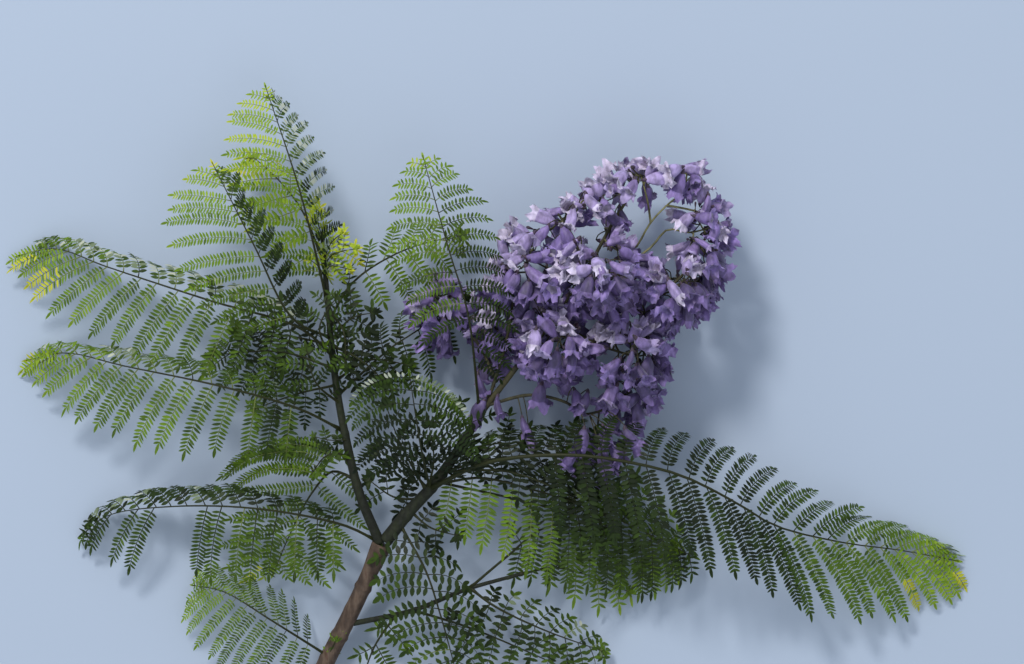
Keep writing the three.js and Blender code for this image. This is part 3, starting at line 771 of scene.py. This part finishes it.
def grow_leaf(leaf, heaps, ribs, rng):
    """Grows a leaf's midrib, and its pairs of side ribs with their leaflets. Returns the tones it used."""
    curve = Curve(leaf["path"])
    thick = leaf.get("thick", MIDRIB_RADIUS)
    size = np.array(leaf.get("leaflet", LEAFLET))
    last = leaf.get("last", LAST_PAIR)
    stations = np.linspace(0, 1, 28)
    foot = 1 + 0.7 * np.exp(-((stations * curve.length) / 5) ** 2)
    ribs.add(tube(curve.at(stations), mix(thick, 0.4, stations ** 0.8) * foot, 7), 0)
    end_length = 0.9 * leaf["left"]["reach"] * last
    end_start = leaf.get("end", 1 - min(end_length / curve.length, 0.3))
    leafy = curve.length * (end_start - leaf["bare"])
    pairs = max(3, round(leafy / leaf.get("spacing", PINNA_SPACING)))
    grown = []
    for number in range(pairs):
        for key, sweep in (("left", 1), ("right", -1)):
            side = leaf[key]
            share = np.clip((number + rng.normal(0, 0.07)) / (pairs - 1), 0, 1)
            if share < side.get("first", 0) or number in side.get("missing", ()):
                continue
            place = mix(leaf["bare"], end_start + 0.2 * (1 - end_start), 1 - (1 - share) ** 1.12)
            outline = outline_at(share, leaf.get("widest", WIDEST_AT), last)
            line = pinna_line(curve.at(place), side, share, outline, sweep, rng)
            grown_size = size * mix(1, leaf.get("taper", TAPER), share)
            copies, places = grow_pinna(line, curve.along(place), grown_size, rng, side.get("broad", 1))
            tones = leaflet_tones(side, share, places, rng)
            # Painted sheen: on the last side ribs, some upper leaflets turn grey and a few pale, as if they
            # catch the light.
            if number >= pairs - side.get("crest", 0):
                upper = copies[:, -1, 1] > copies[:, 0, 1]
                sheen_draw = rng.random(len(tones))
                tones[upper & (sheen_draw < CREST_SHEEN_GREY)] = GREY
                tones[upper & (sheen_draw < CREST_SHEEN_PALE)] = PALE
            grown.append((copies, tones))
            thin = line[[0, 2, 4, 6, 8, 11]]
            rib_radius = np.linspace(0.6, 0.26, len(thin)) * size[0] / LEAFLET[0]
            # Side ribs follow the painted light of their leaflets: light green beside lit leaflets, dark
            # beside shaded ones.
            ribs.add(tube(thin, rib_radius, 4), 1 if np.median(tones) >= 3 else 2)
    end_line = curve.at(np.linspace(end_start, 1, 12))
    copies, places = grow_pinna(end_line, np.cross(UP, curve.along(end_start)), size * END_SIZE, rng)
    grown.append((copies, leaflet_tones(leaf["left"], 1, places, rng)))
    copies = np.concatenate([part[0] for part in grown])
    tones = np.concatenate([part[1] for part in grown])
    used = np.unique(tones)
    for tone in used:
        chosen = copies[tones == tone]
        first = np.arange(len(chosen))[:, None, None] * len(LEAFLET_POINTS)
        heaps[tone].add((chosen, (LEAFLET_FACES + first).reshape(-1, 3)))
    return set(used.tolist())


def nodes_of(name):
    """The CAD nodes of a leaf, which is one blade, or two where it arches over a wide gap."""
    return [node for node in (f"frond_{name}", f"frond_{name}_tip") if node in frame["nodes"]]


def grow_leaves():
    heaps = [Heap() for _ in TONE_NAMES]
    ribs = Heap()
    nodes = [set() for _ in TONE_NAMES]
    for number, (name, leaf) in enumerate(LEAVES.items()):
        for tone in grow_leaf(leaf, heaps, ribs, np.random.default_rng([SEED, number])):
            nodes[tone].update(nodes_of(name))
    for number, leaf in enumerate([DOME_LEAF, *(plain_leaf(*row) for row in PLAIN_LEAVES)]):
        grow_leaf(leaf, heaps, ribs, np.random.default_rng([SEED, 100 + number]))
    for tone, heap in enumerate(heaps):
        name = TONE_NAMES[tone]
        roughness = (0.3, 0.45) if tone == PALE else (0.42, 0.62)
        material = leaf_material(f"leaflet_{name}", LEAF_TONES[name], roughness)
        add_piece(f"leaflets_{name}", heap, [material], sorted(nodes[tone]))
    # rib_green and rib_dark are lit and shaded copies of the side ribs' colour: painted light and shade.
    rib_materials = [
        leaf_material("midrib_green", (40, 44, 20)),
        leaf_material("rib_green", (112, 124, 66)),
        leaf_material("rib_dark", (34, 40, 20)),
    ]
    add_piece("leaf_ribs", ribs, rib_materials, [node for name in LEAVES for node in nodes_of(name)])


# Building the stems

def limb_relief(place, angle, rng, depth, scars=()):
    """Long shallow furrows, a few knots and leaf scars, as a factor of the radius."""
    relief = np.zeros((len(place), len(angle)))
    for _ in range(9):
        lobes = rng.integers(2, 12)
        pitch = rng.uniform(0.01, 0.06)
        relief += rng.uniform(0.3, 1) / 9 * np.sin(lobes * angle + rng.uniform(0, 6.3)
                                                  + 0.8 * np.sin(pitch * place + rng.uniform(0, 6.3)))
    relief += 0.08 * np.sin(0.11 * place + rng.uniform(0, 6.3))
    factor = 1 + depth * relief
    for along, turn in scars:
        away = ((place - along) / 4.2) ** 2 + (np.sin((angle - turn) / 2) / 0.22) ** 2
        away += 9 * (np.cos((angle - turn) / 2) < 0)
        factor += 0.14 * np.exp(-away) - 0.1 * np.exp(-4 * away)
    return factor


def limb_shape(limb, around, step, depth, rng):
    curve = Curve(limb["path"])
    rings = max(8, round(curve.length / step))
    share = np.linspace(0, 1, rings)
    ease = np.clip((share - 0.8) / 0.2, 0, 1)
    radii = mix(*limb["radii"], share) + limb.get("swell", 0) * ease ** 2 * (3 - 2 * ease)
    for ring in limb.get("rings", ()):
        away = (share - ring) * curve.length
        radii = radii * (1 + 0.13 * np.exp(-(away / 2.6) ** 2))
    angle = full_turn(around)
    scars = [(place * curve.length, turn) for place, turn in limb.get("scars", ())]
    relief = limb_relief(share[:, None] * curve.length, angle, rng, depth, scars)
    return tube(curve.at(share), radii, around, relief)


def cut_face(limb, around=48):
    """The sawn end of a stem: a bark rim, pale wood and a darker pith, as three rings of faces."""
    curve = Curve(limb["path"])
    out = -curve.along(0)
    side = unit(np.cross(out, UP))
    other = np.cross(out, side)
    angle = full_turn(around)
    spokes = np.cos(angle)[:, None] * side + np.sin(angle)[:, None] * other
    middle = curve.at(0)
    profile = [(1.0, 0.1), (0.93, 0.45), (0.8, 0.4), (0.3, 0.55), (0.24, 0.3)]
    rings = [middle + out * height + spokes * limb["radii"][0] * radius for radius, height in profile]
    faces = ring_faces(len(rings), around)
    centre = len(rings) * around
    faces = np.vstack([faces, fan_faces(centre, centre - around, around)])
    band = np.tile(np.repeat(np.arange(len(rings) - 1), around), 2)
    tints = np.concatenate([np.array([0, 1, 1, 2])[band], np.full(around, 2)])
    return (np.vstack(rings + [middle[None] + out * 0.3]), faces), tints


def grow_stems():
    rng = np.random.default_rng([SEED, 500])
    bark = Heap()
    bark.add(limb_shape(STEMS["main_stem"], 48, 1.6, 0.05, rng))
    bark.add(*cut_face(STEMS["main_stem"]))
    skins = [bark_material(name) for name in ("bark_grey", "cut_wood", "cut_pith")]
    add_piece("bark_main_stem", bark, skins, ["main_stem"])
    green = Heap()
    green_stems = ["left_stem", "right_stem", "side_stem"]
    for name in green_stems:
        green.add(limb_shape(STEMS[name], 28, 2.2, 0.05, rng))
    add_piece("bark_green_stems", green, [bark_material("bark_green")], green_stems)


# Growing the flowers

def place_ring(x, radius, angle, length, bend, flat):
    """Puts a ring of the bell on its bent middle line, which curves down towards -z."""
    turn = bend * np.asarray(x) / length
    up, side = radius * np.cos(angle) * flat, radius * np.sin(angle)
    ahead, height = x * np.cos(turn / 2) + up * np.sin(turn), up * np.cos(turn) - x * np.sin(turn / 2)
    return np.stack([ahead, side, height], -1)


def corolla(rng):
    """One flower along +x from its foot, a bent swollen bell that opens in five ruffled lobes: its bell, the
    two sides of its lobes, and the inside of its throat."""
    around = LOBE_SPOTS * LOBES
    angle = full_turn(around)
    lobe, spot = np.divmod(np.arange(around), LOBE_SPOTS)
    lobe_length = LOBE_LENGTH * (1 + 0.2 * np.cos(2 * np.pi * lobe / LOBES))
    lobe_length = lobe_length * rng.uniform(0.85, 1.1, LOBES)[lobe]
    reach = lobe_length * np.array([0.34, 0.82, 1.0, 1.0, 0.82])[spot]
    length = BELL_LENGTH * rng.uniform(0.84, 1.1)
    bend = math.radians(rng.uniform(12, 46))
    flat = rng.uniform(0.6, 0.86)
    open_share = rng.choice((0.1, 0.5, 0.75, 1.0), p=(0.1, 0.2, 0.35, 0.35))
    flare = open_share * rng.uniform(0.55, 1.35, LOBES)[lobe]
    crease = 0.1 * np.cos(LOBES * angle) + 0.07 * np.cos(2 * angle + rng.uniform(0, 6.3))
    profile = [(0, 0.18), (0.1, 0.28), (0.22, 0.52), (0.4, 0.82), (0.64, 1.0), (0.86, 1.02), (1.0, 0.98)]
    rings = []
    for share, radius in profile:
        uneven = 1 + share * crease + rng.normal(0, 0.035, around)
        rings.append((np.full(around, share * length), radius * BELL_RADIUS * uneven))
    inward = [(0, -SKIN)] * len(rings)
    x, radius = rings[-1]
    reached = 0
    for share in (0.34, 0.7, 1.0):
        step = reach * (share - reached)
        reached = share
        slope = np.radians((4 + 84 * share) * flare)
        x = x + step * np.cos(slope) + share * rng.normal(0, 1.25, around)
        radius = radius + step * np.sin(slope) + share * rng.normal(0, 0.9, around)
        rings.append((x, radius))
        inward.append((SKIN * np.sin(slope), -SKIN * np.cos(slope)))
    outer = np.array([place_ring(x, radius, angle, length, bend, flat) for x, radius in rings])
    inner = np.array([
        place_ring(x + dx, radius + dr, angle, length, bend, flat)
        for (x, radius), (dx, dr) in zip(rings, inward)
    ])
    inner[-1] = outer[-1]
    mouth = len(profile) - 1
    lobe_outer, lobe_inner = outer[mouth:].reshape(-1, 3), inner[mouth:].reshape(-1, 3)
    skin = ring_faces(len(outer) - mouth, around)
    lobes = np.vstack([lobe_outer, lobe_inner]), np.vstack([skin, skin[:, ::-1] + len(lobe_outer)])
    return (
        (outer[:mouth + 1].reshape(-1, 3), ring_faces(mouth + 1, around)),
        lobes,
        (inner[2:mouth + 1].reshape(-1, 3), ring_faces(mouth - 1, around)[:, ::-1]),
    )


def lathe(profile, around, teeth=0.0):
    """A skin round the x axis through places and radii. Every other side ends further on, by teeth."""
    angle = full_turn(around)
    ways = np.cos(angle), np.sin(angle)
    rings = [np.stack([np.full(around, float(x)), r * ways[0], r * ways[1]], -1) for x, r in profile]
    rings[-1][::2, 0] += teeth
    return np.vstack(rings), ring_faces(len(rings), around)


def bud(length, width):
    """A closed flower bud."""
    profile = [(0, 0.3), (0.12, 0.5), (0.4, 0.72), (0.7, 1.0), (0.9, 0.78), (1.0, 0.1)]
    return lathe([(x * length, r * width / 2) for x, r in profile], 8)


def turned_to(points, place, direction, roll):
    """Points along +x laid along a direction from a place."""
    direction = unit(direction)
    side = unit(np.cross(UP, direction) + 1e-6)
    up = np.cross(direction, side)
    side, up = swing(side, up, roll)
    return place + points @ np.stack([direction, side, up])


def head_depth(places):
    """How deep places lie inside the flower head, and the way out. Its clusters melt into one another."""
    weight, slope = 0, 0
    for middle, half in [*CLUSTERS.values(), *BRIDGES]:
        away = (places - middle) / half
        own = np.exp(-MELTING * ((away ** 2).sum(-1) - 1))
        weight = weight + own
        slope = slope + own[:, None] * (2 * MELTING) * away / half
    slope = slope / weight[:, None]
    steepness = np.linalg.norm(slope, axis=1)
    return np.log(weight) / np.maximum(steepness, 1e-6), slope / steepness[:, None]


def flower_sites(rng):
    """Middles of the flowers: a close outer layer and a looser one inside it, and the way out at each."""
    places = rng.uniform(*HEAD_BOX, (TRIES, 3))
    depth, out = head_depth(places)
    for x, y, half_x, half_y in HEAD_GAPS:
        depth[((places[:, 0] - x) / half_x) ** 2 + ((places[:, 1] - y) / half_y) ** 2 < 1] = -1
    start, end = np.array(HEAD_EDGE, float)
    run = unit(end - start)
    beyond = run[0] * (places[:, 1] - start[1]) - run[1] * (places[:, 0] - start[0])
    depth[(beyond > 0) & (places[:, 0] > start[0] - 10) & (places[:, 0] < end[0])] = -1
    sites = np.zeros((0, 3))
    outs = []
    for low, high, upper_gap, lower_gap in LAYERS:
        for index in np.flatnonzero((depth > low) & (depth < high)):
            gap = upper_gap if out[index, 2] > -0.1 else lower_gap
            if len(sites) == 0 or np.min(((sites - places[index]) ** 2).sum(1)) > gap ** 2:
                sites = np.vstack([sites, places[index]])
                outs.append(out[index])
    return sites, np.array(outs)


class Head:
    """The flower head as it grows: the heaps of its pieces and the twigs that new ones can leave."""

    def __init__(self, rng):
        self.rng = rng
        self.bells, self.lobes, self.throats, self.small, self.twigs = (Heap() for _ in range(5))
        self.variants = [corolla(rng) for _ in range(VARIANTS)]
        self.cup = lathe([(-1.4, 0.6), (0.2, 1.7), (2.4, 2.3), (3.2, 2.4)], 8, teeth=1.1)
        self.structure = np.zeros((0, 3))

    def add_stalk(self, shape, line, tint=0):
        self.twigs.add(shape, tint)
        self.structure = np.vstack([self.structure, line])

    def nearest(self, place):
        return self.structure[np.argmin(((self.structure - place) ** 2).sum(1))]

    def add_flower(self, fork, foot, aim, light):
        """One flower with its cup, and its own stalk from a fork."""
        rng = self.rng
        bell, lobes, throat = self.variants[rng.integers(len(self.variants))]
        size, roll = rng.uniform(0.78, 1.06), rng.uniform(0, 2 * np.pi)
        lowest = min(turned_to(shape[0] * size, foot, aim, roll)[:, 2].min() for shape in (bell, lobes))
        foot = foot + UP * max(0, LOWEST - lowest)
        start = foot - aim * 1.5
        knee = mix(fork, start, 0.55) - aim * 2.5
        self.twigs.add(thread([fork, knee, start], (0.7, 0.6), steps=6))
        last = len(BELL_TONES) - 1
        # The light value picks lit or shaded copies of the petal colours, and a pale throat for lit flowers:
        # painted light and shade.
        petal_tone = int(np.clip(light * len(BELL_TONES) + rng.normal(0, 0.45), 0, last))
        for heap, (points, faces), tone in (
            (self.bells, bell, petal_tone), (self.lobes, lobes, petal_tone),
            (self.throats, throat, int(light > 0.55)), (self.small, self.cup, 0),
        ):
            heap.add((turned_to(points * size, foot, aim, roll), faces), tone)

    def add_stub(self, fork, outward):
        """A short side stalk that ends in a closed bud, or in the cup of a flower that has dropped."""
        rng = self.rng
        aim = unit(rng.normal(size=3) + outward)
        end = fork + aim * rng.uniform(4, 10)
        self.twigs.add(tube(mix(fork, end, np.linspace(0, 1, 3)[:, None]), np.linspace(0.65, 0.5, 3), 5))
        points, faces = bud(rng.uniform(5, 8.5), rng.uniform(2.2, 3.4)) if rng.random() < 0.6 else self.cup
        self.small.add((turned_to(points, end, aim, 0), faces), 1)

    def add_cyme(self, sites, outs):
        """A twig from the nearest stalk to a fork, with a flower at each of its few sites."""
        rng = self.rng
        feet, aims, lights = [], [], []
        for site, out in zip(sites, outs):
            hanging = 0.62 - 0.4 * max(out[1], 0)
            aim = 0.72 * out * (1, 1, 0.35) + np.array([0, -hanging, 0])
            aim = unit(aim + rng.normal(0, (0.36, 0.36, 0.3)))
            feet.append(site - aim * BELL_LENGTH * 0.55)
            aims.append(aim)
            # Painted light: flowers that face the upper left, face up or sit further up get lighter tones,
            # the others darker.
            lights.append(0.48 + 0.42 * (out[:2] @ (-0.5, 0.86)) + 0.1 * out[2] + 0.0018 * (site[1] - 50))
        centre = np.mean(feet, axis=0)
        base = self.nearest(centre)
        fork = mix(centre, base, min(0.45, 9 / max(np.linalg.norm(base - centre), 1e-6)))
        middle = mix(base, fork, 0.5) + rng.normal(0, 2.2, 3) + np.array([0, 1.5, 0])
        line = Curve([base, middle, fork], 6).at(np.linspace(0, 1, 8))
        self.add_stalk(tube(line, np.linspace(1.05, 0.8, 8), 6), line[2:], int(centre[1] > 60))
        for foot, aim, light in zip(feet, aims, lights):
            self.add_flower(fork, foot, aim, light + rng.normal(0, 0.12))
        for _ in range(rng.integers(0, 3)):
            self.add_stub(fork, 1.2 * outs[0])


def grow_head():
    rng = np.random.default_rng([SEED, 900])
    head = Head(rng)
    for stalk in STALKS.values():
        line = Curve(stalk["path"]).at(np.linspace(0.1, 1, 24))
        head.add_stalk(limb_shape(stalk, 12, 2.5, 0.06, rng), line)
    for path in GAP_STALKS:
        head.add_stalk(thread(path, (1.2, 0.8), 6, 14), Curve(path).at(np.linspace(0.5, 1, 6)), 1)
    sites, outs = flower_sites(rng)
    nearest = [np.min(np.linalg.norm(head.structure - site, axis=1)) for site in sites]
    waiting = list(np.argsort(nearest))
    while waiting:
        first = waiting.pop(0)
        apart = np.linalg.norm(sites - sites[first], axis=1)
        near = sorted(waiting, key=lambda other: apart[other])
        group = [first] + [other for other in near[:2] if apart[other] < CYME_WIDTH]
        for other in group[1:]:
            waiting.remove(other)
        head.add_cyme(sites[group], outs[group])
    for place, aim in LONE_FLOWERS:
        foot = np.array(place, float)
        head.add_flower(head.nearest(foot), foot, unit(np.array(aim, float)), LONE_LIGHT)
    flowers = sorted(f"flowers_{name}" for name in CLUSTERS)
    for name, heap, tones in (
        ("flower_bells", head.bells, BELL_TONES), ("flower_lobes", head.lobes, LOBE_TONES),
        ("flower_throats", head.throats, THROAT_TONES), ("cups_and_buds", head.small, SMALL_TONES),
    ):
        petals = [petal_material(tone, colour) for tone, colour in tones.items()]
        add_piece(name, heap, petals, flowers)
    skins = [bark_material(name) for name in ("stalk_dark", "stalk_olive")]
    add_piece("flower_twigs", head.twigs, skins, list(STALKS))


# Studio

# In metres, apart from the sensor's millimetres
VIEW_HEIGHT = 6.0
SUBJECT_HEIGHT = 0.08
PHOTO_WIDTH = 1.024
SENSOR = 36
FLOOR_HALF = 30
FLOOR_TONE = (171, 185, 206)


def add_floor():
    mesh = bpy.data.meshes.new("floor")
    corners = [(x * FLOOR_HALF, y * FLOOR_HALF, 0) for x, y in ((-1, -1), (1, -1), (1, 1), (-1, 1))]
    mesh.from_pydata(corners, [], [(0, 1, 2, 3)])
    floor = new_object("floor", mesh)
    material, shader = new_material("floor_pale", FLOOR_TONE, 0.9)
    vary_roughness(shader, 6, 0.86, 0.94)
    mesh.materials.append(material)


def add_camera():
    camera = new_object("camera", bpy.data.cameras.new("camera"))
    camera.location = (*SHIFT[:2] * MM, VIEW_HEIGHT)
    camera.data.sensor_width = SENSOR
    camera.data.lens = SENSOR * (VIEW_HEIGHT - SUBJECT_HEIGHT) / PHOTO_WIDTH
    camera.data.clip_end = 200
    bpy.context.scene.camera = camera


def add_light(name, place, size, power, colour):
    """A round soft light that looks at the middle of the floor."""
    light = bpy.data.lights.new(name, "AREA")
    light.shape = "DISK"
    light.size = size
    light.energy = power
    light.color = colour
    lamp = new_object(name, light)
    lamp.location = place
    x, y, z = place
    lamp.rotation_euler = (math.atan2(math.hypot(x, y), z), 0, math.atan2(-x, y) + math.pi)


def set_studio():
    add_floor()
    add_camera()
    add_light("key", (-1.8, 3.6, 4.6), 1.3, 235, (1.0, 0.97, 0.92))
    add_light("fill", (0.6, -1.4, 3.8), 2.6, 16, (0.92, 0.96, 1.0))
    world = bpy.data.worlds.new("studio")
    world.use_nodes = True
    set_inputs(world.node_tree.nodes["Background"], Color=(0.86, 0.93, 1.0, 1), Strength=0.6)
    bpy.context.scene.world = world
    bpy.context.scene.view_settings.view_transform = "Standard"


grow_leaves()
grow_stems()
grow_head()
set_studio()
